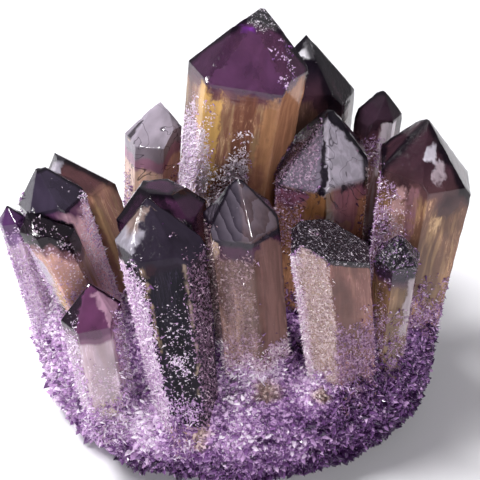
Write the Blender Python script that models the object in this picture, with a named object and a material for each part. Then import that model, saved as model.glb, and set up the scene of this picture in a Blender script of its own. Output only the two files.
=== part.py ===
"""An amethyst cluster: smoky purple quartz points rooted in a druse of small crystals.

Each large point is a six-sided prism that widens a little from its root and ends in
rhombohedral faces. Points that grew into each other are one solid. The druse is a lump
whose skin is a net of small crystals; it is cut off flat at z = 0 and rests on the cut.
The front is -Y. Sizes are metres, worked out from the millimetre values below.
"""

import math
import random

import bmesh
import bpy
from mathutils import Matrix, Vector

MM = 0.001

# Quartz grows as a six-sided prism. The normals of its end faces stand this many degrees above
# those of the prism's sides.
SIDES = 6
END_FACE_RISE = math.radians(38.2)
# A root sits in its socket in the druse with this much room on every side.
SOCKET_GAP = 0.3 * MM
ROOT_DEPTH = 6.5
# How far the plain prism reaches past the tip before its end faces are cut.
SPARE_LENGTH = 2.0

# The druse, in millimetres: the lump's middle, its half sizes, and how far it goes up and down
# from its widest level.
DRUSE_CENTRE = (-1.0, -1.5)
DRUSE_HALF_WIDTH = 50.0
DRUSE_HALF_DEPTH = 43.5
DRUSE_WIDEST_LEVEL = 13.0
DRUSE_CROWN = 18.0
DRUSE_KEEL = 21.0
LEFT_FLANK_RISE = 31.0
RIGHT_FLANK_RISE = 18.0
FLANK_FLARE = 0.12
# A flank is where the way out turns this far toward +X or -X.
FLANK_START = 0.55
# Powers that square the lump's plan and its profile a little; the first holds near the top only
# down to the smallest plan reach.
PLAN_POWER = -0.35
PROFILE_POWER = 0.8
SMALLEST_REACH = 0.05

# The small crystals: how many and their chance seed, their height in millimetres, the width of
# their neck in proportion to their cell, how far they lean in plan and upward, and how much of
# their height is shaft.
DRUSE_CELLS = 400
DRUSE_SEED = 11
SMALL_HEIGHT = (2.0, 4.6)
SMALL_NECK = (0.55, 0.75)
SMALL_LEAN = 0.25
SMALL_RISE = 0.35
SMALL_SHAFT = 0.45

QUARTZ_ROUGHNESS = 0.12
DRUSE_ROUGHNESS = 0.35

# The large points, in millimetres and degrees. foot is where the axis leaves the druse and tip
# where the end faces would meet. across is the width over the flats at the tip end, and
# foot_scale that width at the foot in proportion. turn spins the prism: face 0 looks to -Y at
# turn 0, and the other faces follow it toward +X. drops moves each end face down the axis, which
# makes that face larger; None leaves that end face out. trims moves prism faces in toward the
# axis. crown is a broken or flat top, as the way that it faces and its distance below the tip.
POINTS = {
    "tall": dict(foot=(-5, 6, 31), tip=(4, 8.5, 101.5), across=24.5, foot_scale=0.84, turn=-5,
                 drops=(8, 1, 0, 0, 3, 3), trims=(3.2, 0, 0, 0, 0, 0), crown=((0, 0.15, 1), 3)),
    "mid_right": dict(foot=(18, -4, 25.5), tip=(19, 4, 78.4), across=21.5, foot_scale=0.9, turn=-28,
                      drops=(5, 3.5, 0, 0, 0, 5), crown=((-0.1, 0.2, 1), 3.6)),
    "back_mid": dict(foot=(15.5, 23.5, 31), tip=(17.5, 30.5, 83), across=21.5, foot_scale=0.88, turn=10,
                     drops=(0, 3, 3, 0, 0, 0)),
    "back_right": dict(foot=(31.5, 21.5, 26), tip=(35, 28, 68.3), across=10.5, foot_scale=0.9, turn=0,
                       drops=(0, 0, 0, 0, 0, 2)),
    "right": dict(foot=(38.2, -9, 24), tip=(43.5, -5, 81), across=22, foot_scale=0.78, turn=25,
                  drops=(2, 4.5, 4.5, 0, 0, 0)),
    "centre": dict(foot=(3, -26, 28), tip=(-0.6, -22, 74), across=15, foot_scale=1.0, turn=-15,
                   drops=(2, 1.5, 0, 0, 0, 0)),
    "front_dark": dict(foot=(-11.4, -37, 17), tip=(-18, -31.5, 76.9), across=17.5, foot_scale=0.7, turn=6,
                       drops=(4, 5, 3, 0, 0, 0), trims=(1.2, 0, 0, 0, 0, 0)),
    "behind_dark": dict(foot=(-13.6, -19, 30), tip=(-18.6, -18, 74), across=18, foot_scale=0.9, turn=13,
                        drops=(0, 0, 0, 0, 0, 0), crown=((0.1, 0.2, 1), 5.4)),
    "left_mid": dict(foot=(-33, -12, 24), tip=(-45.2, -8, 68.5), across=14, foot_scale=0.85, turn=0,
                     drops=(0, 1, 0, 0, 0, 0), crown=((0, 0.2, 1), 1.5)),
    "left_back": dict(foot=(-27.5, -1, 25.5), tip=(-42, 6, 66.5), across=15, foot_scale=0.85, turn=0,
                      drops=(0, 4, 5.5, 0, 0, 0), crown=((-0.3, 0, 1), 3)),
    "left_front": dict(foot=(-32, -20, 26), tip=(-45.6, -18, 65.8), across=10, foot_scale=0.95, turn=20,
                       drops=(1, 5, 5, 0, 0, 0), crown=((-0.3, 0.2, 1), 3)),
    "left_edge": dict(foot=(-44.8, -16, 22.5), tip=(-52, -14, 61.3), across=5.5, foot_scale=0.95, turn=0,
                      drops=(0, 0, 0, 0, 0, 0)),
    "left_low": dict(foot=(-29.8, -33.5, 19), tip=(-33.3, -33.5, 55), across=12, foot_scale=0.9, turn=10,
                     drops=(2, 0, 0, 0, 2, 2), crown=((-0.3, 0.2, 1), 1.5)),
    "front_right": dict(foot=(23.6, -28, 25), tip=(18, -26, 71.6), across=17, foot_scale=0.9, turn=28,
                        drops=(None, 0, 0, 0, 0, None), crown=((0.38, 0.12, 1), 11)),
    "right_small": dict(foot=(33.4, -25, 26), tip=(34.6, -25.5, 61.5), across=9.5, foot_scale=0.9, turn=15,
                        drops=(0, 0, 0, 0, 0, 0), crown=((0, 0.2, 1), 1)),
    "back_left": dict(foot=(-23, 20, 31), tip=(-21, 26, 67.5), across=12.5, foot_scale=0.95, turn=-5,
                      drops=(4, 0, 0, 0, 3, 3)),
    "rear_left": dict(foot=(-34.5, 13, 24), tip=(-44, 20.5, 47), across=11, foot_scale=0.9, turn=20,
                      drops=(0, 0, 2, 0, 0, 0)),
    "rear_mid": dict(foot=(-4, 31, 24), tip=(-6, 40, 62), across=14, foot_scale=0.9, turn=10,
                     drops=(0, 0, 0, 3, 0, 0)),
    "rear_right": dict(foot=(22, 36, 18), tip=(27.5, 45.5, 49), across=9, foot_scale=0.9, turn=30,
                       drops=(0, 0, 0, 0, 0, 0)),
    "rear_low": dict(foot=(-19, 31.5, 18), tip=(-25, 40, 45), across=8.5, foot_scale=0.9, turn=-10,
                     drops=(0, 0, 0, 0, 0, 0)),
    "far_left": dict(foot=(-41, 3, 23), tip=(-50, 6.5, 50), across=7.5, foot_scale=0.9, turn=15,
                     drops=(0, 0, 0, 0, 1.5, 0)),
    "far_right": dict(foot=(43, 10.5, 20), tip=(50, 14.5, 52), across=9, foot_scale=0.9, turn=-5,
                      drops=(0, 0, 1.5, 0, 0, 0)),
}

# Which points each solid is made of, and its colour.
SOLIDS = {
    "tall_twin_crystal": (("tall", "mid_right"), (0.30, 0.16, 0.14)),
    "back_crystal": (("back_mid",), (0.20, 0.11, 0.12)),
    "back_right_crystal": (("back_right",), (0.14, 0.09, 0.12)),
    "right_crystal": (("right",), (0.30, 0.19, 0.13)),
    "centre_crystal": (("centre",), (0.26, 0.16, 0.15)),
    "dark_twin_crystal": (("front_dark", "behind_dark"), (0.05, 0.03, 0.06)),
    "left_triple_crystal": (("left_mid", "left_back", "left_front"), (0.28, 0.16, 0.20)),
    "left_edge_crystal": (("left_edge",), (0.45, 0.33, 0.52)),
    "low_left_crystal": (("left_low",), (0.40, 0.26, 0.36)),
    "front_right_twin_crystal": (("front_right", "right_small"), (0.36, 0.27, 0.27)),
    "back_left_crystal": (("back_left",), (0.50, 0.42, 0.46)),
    "rear_left_crystal": (("rear_left",), (0.30, 0.18, 0.30)),
    "rear_crystal": (("rear_mid",), (0.24, 0.14, 0.20)),
    "rear_right_crystal": (("rear_right",), (0.24, 0.14, 0.24)),
    "rear_low_crystal": (("rear_low",), (0.30, 0.18, 0.34)),
    "far_left_crystal": (("far_left",), (0.34, 0.22, 0.38)),
    "far_right_crystal": (("far_right",), (0.26, 0.16, 0.22)),
}
DRUSE_COLOUR = (0.42, 0.26, 0.50)


def clear_scene():
    """Remove the objects that the scene starts with."""
    for item in list(bpy.data.objects):
        bpy.data.objects.remove(item, do_unlink=True)


def new_collection(name):
    """A collection in the scene."""
    collection = bpy.data.collections.new(name)
    bpy.context.scene.collection.children.link(collection)
    return collection


def crystal_material(name, colour, roughness):
    """A plain Principled material in the piece's colour."""
    material = bpy.data.materials.new(name)
    material.use_nodes = True
    shader = material.node_tree.nodes["Principled BSDF"]
    shader.inputs["Base Color"].default_value = (*colour, 1)
    shader.inputs["Roughness"].default_value = roughness
    shader.inputs["Metallic"].default_value = 0
    material.diffuse_color = (*colour, 1)
    return material


def add_object(name, mesh, collection, matrix=None):
    """An object in a collection, placed by a matrix."""
    item = bpy.data.objects.new(name, mesh)
    collection.objects.link(item)
    if matrix is not None:
        item.location = matrix.to_translation()
        item.rotation_euler = matrix.to_euler()
    return item


def make_cutter(item):
    """Mark an object that only cuts or joins others."""
    item.hide_render = True
    item.display_type = "WIRE"


def point_frame(point):
    """The place of a point: its foot, with local Z up its axis and local X to the front."""
    foot = Vector(point["foot"]) * MM
    axis = (Vector(point["tip"]) * MM - foot).normalized()
    front = Vector((0, -1, 0))
    front = (front - front.dot(axis) * axis).normalized()
    side = axis.cross(front)
    frame = Matrix((front, side, axis)).transposed().to_4x4()
    frame.translation = foot
    return frame


def cut_away(bm, place, facing):
    """Cut off what lies past a plane, and close the cut."""
    everything = bm.verts[:] + bm.edges[:] + bm.faces[:]
    cut = bmesh.ops.bisect_plane(bm, geom=everything, plane_co=place, plane_no=facing, clear_outer=True)
    rim = [part for part in cut["geom_cut"] if isinstance(part, bmesh.types.BMEdge)]
    if rim:
        bmesh.ops.edgeloop_fill(bm, edges=rim)


def point_mesh(name, point, gap=0.0):
    """A six-sided point along local Z from its root to its end faces, grown by a gap."""
    frame = point_frame(point)
    length = (Vector(point["tip"]) - Vector(point["foot"])).length * MM
    half_flat = point["across"] * MM / 2
    growth = half_flat * (1 - point["foot_scale"]) / length
    root = ROOT_DEPTH * MM + gap
    top = length + SPARE_LENGTH * MM
    corner = math.cos(math.pi / SIDES)
    root_radius = (half_flat - growth * (length + root) + gap) / corner
    top_radius = (half_flat + growth * (top - length) + gap) / corner

    bm = bmesh.new()
    turned = Matrix.Rotation(math.radians(point["turn"]), 4, "Z")
    middle = Matrix.Translation((0, 0, (top - root) / 2))
    bmesh.ops.create_cone(bm, segments=SIDES, cap_ends=True, depth=top + root,
                          radius1=root_radius, radius2=top_radius, matrix=turned @ middle)
    for index, drop in enumerate(point["drops"]):
        if drop is None:
            continue
        around = math.radians(point["turn"] + 360 / SIDES * index)
        flat = math.cos(END_FACE_RISE)
        facing = Vector((math.cos(around) * flat, math.sin(around) * flat, math.sin(END_FACE_RISE)))
        cut_away(bm, Vector((0, 0, length - drop * MM)) + facing * gap, facing)
    for index, trim in enumerate(point.get("trims", ())):
        if trim == 0:
            continue
        around = math.radians(point["turn"] + 360 / SIDES * index)
        facing = Vector((math.cos(around), math.sin(around), -growth))
        reach = half_flat * point["foot_scale"] - trim * MM + gap
        cut_away(bm, Vector((math.cos(around), math.sin(around), 0)) * reach, facing.normalized())
    if "crown" in point:
        way, below = point["crown"]
        facing = frame.to_3x3().inverted() @ Vector(way).normalized()
        cut_away(bm, Vector((0, 0, length - below * MM)) + facing * gap, facing)
    bmesh.ops.recalc_face_normals(bm, faces=bm.faces)

    mesh = bpy.data.meshes.new(name)
    bm.to_mesh(mesh)
    bm.free()
    return mesh


def add_union(item, other):
    """Join another solid to an object."""
    joint = item.modifiers.new("Grown into " + other.name, "BOOLEAN")
    joint.operation = "UNION"
    joint.solver = "EXACT"
    joint.object = other


def build_solids(collection, tools):
    """One object for each solid, with the points that grew into it joined to its first."""
    for name, (members, colour) in SOLIDS.items():
        first = POINTS[members[0]]
        item = add_object(name, point_mesh(name, first), collection, point_frame(first))
        item.data.materials.append(crystal_material(name + "_quartz", colour, QUARTZ_ROUGHNESS))
        for member in members[1:]:
            other = add_object(member, point_mesh(member, POINTS[member]), tools, point_frame(POINTS[member]))
            make_cutter(other)
            add_union(item, other)


def build_sockets(sockets):
    """A cutter for each point's root, larger than the root by the gap."""
    for name, point in POINTS.items():
        mesh = point_mesh(name + "_socket", point, SOCKET_GAP)
        make_cutter(add_object(name + "_socket", mesh, sockets, point_frame(point)))


def druse_place(way):
    """The place on the lump's skin in one direction from its middle."""
    level = math.hypot(way.x, way.y)
    spread = max(level, SMALLEST_REACH) ** PLAN_POWER
    x = DRUSE_CENTRE[0] + DRUSE_HALF_WIDTH * way.x * spread
    y = DRUSE_CENTRE[1] + DRUSE_HALF_DEPTH * way.y * spread
    reach = DRUSE_CROWN if way.z > 0 else DRUSE_KEEL
    z = DRUSE_WIDEST_LEVEL + math.copysign(reach * abs(way.z) ** PROFILE_POWER, way.z)
    flank = max(0.0, abs(way.x) - FLANK_START) / (1 - FLANK_START)
    rise = LEFT_FLANK_RISE if way.x < 0 else RIGHT_FLANK_RISE
    z += rise * flank * math.sqrt(max(way.z, 0.0))
    x += math.copysign(FLANK_FLARE * max(z - DRUSE_WIDEST_LEVEL, 0.0) * flank, way.x)
    return Vector((x, y, z)) * MM


def spread_ways(count):
    """Directions spread evenly over a sphere, on a golden spiral."""
    golden = math.pi * (3 - math.sqrt(5))
    for index in range(count):
        z = 1 - 2 * (index + 0.5) / count
        flat = math.sqrt(1 - z * z)
        yield Vector((math.cos(golden * index) * flat, math.sin(golden * index) * flat, z))


def lump_mesh():
    """The lump as a net of triangles with a corner for each small crystal."""
    bm = bmesh.new()
    for way in spread_ways(DRUSE_CELLS):
        bm.verts.new(way)
    bmesh.ops.convex_hull(bm, input=bm.verts)
    for vert in bm.verts:
        vert.co = druse_place(vert.co.copy())
    bm.normal_update()
    return bm


def add_small_crystal(bm, rim, middle, outward, luck):
    """A stub of prism on a cell of the skin, ending in a point."""
    tall = luck.uniform(*SMALL_HEIGHT) * MM
    neck = luck.uniform(*SMALL_NECK)
    lean = Vector((luck.uniform(-SMALL_LEAN, SMALL_LEAN), luck.uniform(-SMALL_LEAN, SMALL_LEAN), SMALL_RISE))
    growth = (outward + lean).normalized()
    ring = [bm.verts.new(middle + (vert.co - middle) * neck + growth * tall * SMALL_SHAFT) for vert in rim]
    peak = bm.verts.new(middle + growth * tall)
    for here in range(len(rim)):
        after = (here + 1) % len(rim)
        bm.faces.new((rim[here], rim[after], ring[after], ring[here]))
        bm.faces.new((ring[here], ring[after], peak))


def around_corner(vert):
    """The faces round a corner of the lump, in order."""
    faces = [vert.link_faces[0]]
    while len(faces) < len(vert.link_faces):
        edges = set(faces[-1].edges)
        for face in vert.link_faces:
            if face not in faces and edges & set(face.edges):
                faces.append(face)
                break
    return faces


def druse_mesh():
    """The druse: every corner of the lump becomes a cell that carries a small crystal."""
    lump = lump_mesh()
    luck = random.Random(DRUSE_SEED)
    bm = bmesh.new()
    corners = {face: bm.verts.new(face.calc_center_median()) for face in lump.faces}
    for vert in list(lump.verts):
        rim = [corners[face] for face in around_corner(vert)]
        middle = sum((corner.co for corner in rim), Vector()) / len(rim)
        turn = (rim[0].co - middle).cross(rim[1].co - middle)
        if turn.dot(vert.normal) < 0:
            rim.reverse()
        add_small_crystal(bm, rim, middle, vert.normal, luck)
    lump.free()
    cut_away(bm, (0, 0, 0), (0, 0, -1))
    bmesh.ops.recalc_face_normals(bm, faces=bm.faces)
    mesh = bpy.data.meshes.new("druse_base")
    bm.to_mesh(mesh)
    bm.free()
    return mesh


def build_druse(collection, sockets):
    """The druse with a socket for the root of every large point."""
    item = add_object("druse_base", druse_mesh(), collection)
    item.data.materials.append(crystal_material("druse_quartz", DRUSE_COLOUR, DRUSE_ROUGHNESS))
    for socket in sockets.objects:
        cut = item.modifiers.new(socket.name, "BOOLEAN")
        cut.operation = "DIFFERENCE"
        cut.solver = "EXACT"
        cut.object = socket


def main():
    clear_scene()
    cluster = new_collection("Amethyst cluster")
    tools = new_collection("Grown-in points")
    sockets = new_collection("Sockets")
    build_solids(cluster, tools)
    build_sockets(sockets)
    build_druse(cluster, sockets)


main()
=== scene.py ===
"""The looks of an amethyst cluster: zoned smoky purple points in a sparkling lilac druse.

Every large point keeps its solid's shape. Its copy gets fine edges, a net of small faces, and
values at its corners that say where each place lies in its own crystal: how far up, how deep
below the end faces, how close to an edge, how frosted, and which stretch of colour is there.
Materials and grains read those values. Geometry Nodes scatter the druse's small crystals and
the grains on the faces.
"""

import math

import bmesh
import bpy
import numpy as np
from mathutils import Matrix, Vector, kdtree, noise


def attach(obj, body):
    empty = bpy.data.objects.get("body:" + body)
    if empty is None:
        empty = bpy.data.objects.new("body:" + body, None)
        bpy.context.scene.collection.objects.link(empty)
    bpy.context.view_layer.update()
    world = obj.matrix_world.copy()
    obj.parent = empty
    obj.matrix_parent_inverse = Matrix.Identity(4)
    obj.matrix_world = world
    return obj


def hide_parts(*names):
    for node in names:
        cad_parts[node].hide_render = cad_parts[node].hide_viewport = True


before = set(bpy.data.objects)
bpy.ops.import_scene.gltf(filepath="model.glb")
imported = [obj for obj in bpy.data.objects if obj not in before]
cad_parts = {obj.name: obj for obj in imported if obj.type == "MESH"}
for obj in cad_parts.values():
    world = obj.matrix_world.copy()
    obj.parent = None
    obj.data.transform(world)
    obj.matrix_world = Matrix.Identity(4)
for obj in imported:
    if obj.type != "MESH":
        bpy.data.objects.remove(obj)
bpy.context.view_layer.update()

MM = 0.001

# The camera looks down on the cluster from the front, in millimetres and degrees.
CAMERA_TARGET = (0, 0, 42)
CAMERA_DISTANCE = 320
CAMERA_ELEVATION = 35
CAMERA_LENS = 100
SENSOR_WIDTH = 36

# The net on a large point, its rounded edges and how rough its growth leaves it, in millimetres.
NET_SPACING = 1.3
EDGE_ROUND = 0.18
EDGE_STEP = 0.5
SAME_PLACE = 1e-3
PLACE_DIGITS = 4
STEP_RELIEF = 0.08
CHIP_RELIEF = 0.30
# In degrees: the most that a flat face bends, the least turn at an outer edge, and the sharpest
# bend that is still shaded smoothly.
FLAT_BEND = 0.8
OUTER_EDGE_TURN = 15
SHARPEST_SMOOTH = 24
# How far a normal must lean along the axis to be an end face's, and forward to face the camera.
END_FACE_LEAN = 0.35
FRONT_LEAN = -0.2
# The depth below the end faces where a point has none.
UNCAPPED_DEPTH = 50.0
# How far above its end a point may still own a place, and what counts as too far away to own one.
TIP_SPARE = 0.5
FAR_OFF = 10.0
# The depths below an end face between which it turns into a side, and between which etching ends.
SIDE_DEPTHS = (0.1, 0.7)
ETCHED_DEPTHS = (0.3, 1.0)
# How softly etching ends, in millimetres down from the tip and in degrees around it.
ETCHED_SOFT = 1
ETCHED_TURN_SOFT = 8
# How far noise shifts a border of frost or colour: in degrees around, and along in softnesses.
BORDER_SWAY = 5
BORDER_DRIFT = 1.4
# The degrees inside and outside a border in which frost or colour fades.
FADE_INSIDE = 2
FADE_OUTSIDE = 4
# Keeps a share of no cover at all from being divided by nought.
LEAST_COVER = 1e-6

# The druse's lump, in millimetres, with the same values as its solid.
DRUSE_CENTRE = (-1.0, -1.5)
DRUSE_HALF_WIDTH = 50.0
DRUSE_HALF_DEPTH = 43.5
DRUSE_WIDEST_LEVEL = 13.0
DRUSE_CROWN = 18.0
DRUSE_KEEL = 21.0
LEFT_FLANK_RISE = 31.0
RIGHT_FLANK_RISE = 18.0
FLANK_FLARE = 0.12
# How far its bed lies inside that skin, so that the small crystals stand out to it.
BED_INSET = 1.9
FLOOR_CLEARANCE = 0.05
# How far below its foot, and in what share of its width, a large point keeps the bed bare.
ROOT_REACH = 5.0
ROOT_WIDTH = 0.9


def shade(red, green, blue):
    """A colour from its screen values."""
    linear = [((value / 255 + 0.055) / 1.055) ** 2.4 for value in (red, green, blue)]
    return (*linear, 1.0)


BLACK = shade(22, 16, 26)
PURPLE = shade(98, 58, 98)
DEEP_VIOLET = shade(66, 34, 74)
AMBER = shade(140, 98, 84)
GOLD = shade(205, 168, 128)
BROWN = shade(112, 82, 72)
TAN = shade(178, 150, 132)
MAUVE = shade(152, 110, 116)
ROSE = shade(180, 146, 150)
PALE_PINK = shade(204, 182, 196)
LILAC = shade(178, 146, 190)
# A painted reflection: the pale grey of faces where a bright light is mirrored.
REFLECTION_GREY = shade(196, 188, 204)

# Inside a large point: its growth steps, its dark rims of painted shade, cracks, specks that are partly
# painted glints, how much brighter than its streaks its threads are, the haze that it absorbs to,
# and its etched ends from dark to pale.
STEP_GREY = shade(124, 114, 128)
RIM_SHADE = shade(16, 10, 20)
CRACK_GREY = shade(44, 36, 48)
SPECK_AND_GLINT_WHITE = shade(240, 228, 236)
BRIGHT_THREAD = (1.9, 1.9, 2.2, 1.0)
HAZE = shade(204, 168, 160)
ETCHED_TONES = (shade(14, 10, 18), shade(24, 18, 30), shade(64, 50, 68), shade(232, 222, 232))
# The way that growth steps climb, by front, side and up.
STEP_SLOPE = (0.35, 0.25, 0.55)

# The small crystals and grains, from the darkest to the palest, cool and warm.
COOL_GRAINS = (shade(50, 24, 62), shade(126, 84, 142), shade(204, 166, 212), shade(250, 238, 252))
WARM_GRAINS = (shade(72, 52, 52), shade(136, 108, 106), shade(196, 172, 168), shade(246, 234, 230))


def frost(side, spread, low, high, soft=3, amount=1.0, grit=0.6, warm=0.0, pale=0.7, on="all"):
    """Frost on a large point.

    side is the way that it faces in degrees, 0 for the front and 90 for the right, and spread how
    far it reaches to either side. low and high are millimetres above the foot, and soft how
    gently it fades there. amount is how dense it is, grit the size of its grains, warm and pale
    their colour. on says whether it keeps to the sides or to the ends.
    """
    return dict(side=side, spread=spread, low=low, high=high, soft=soft, amount=amount, grit=grit,
                warm=warm, pale=pale, on=on)


def band(colour, side, spread, low, high, soft=2, amount=1.0, on="sides"):
    """A stretch of another colour on a large point's sides, placed as frost is; some stand for painted light,
    painted shade and painted reflections.
    """
    return dict(colour=colour, side=side, spread=spread, low=low, high=high, soft=soft,
                amount=amount, on=on)


def facet(*place):
    """A stretch of another colour on a large point's end faces; some are painted reflections and painted
    shade.
    """
    return dict(band(*place), on="ends")


ALL_ROUND = 400
ROOT_FROST = frost(0, ALL_ROUND, -10, 4, 5, 0.9, 0.8)


def looks(node, foot, tip, half, body, streak, **others):
    """A large point: its solid, its axis and half width in millimetres, and its looks."""
    # rim is the width of the painted shade along a point's outline.
    # specks is how dense the white specks are, which are partly painted glints.
    usual = dict(tip_colour=BLACK, glow=PURPLE, tip_depth=0.8, glow_depth=4.0, fade=1.2,
                 fall_share=0.0, depth_share=1.0, rim=1.6, passes=0.35, shine=0.45, etched=0.0,
                 etched_side=0, etched_spread=ALL_ROUND, cracks=0.0, steps=0.0, specks=0.12,
                 frost=[], bands=[])
    return dict(usual, node=node, foot=foot, tip=tip, half=half, body=body, streak=streak, **others)


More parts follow.
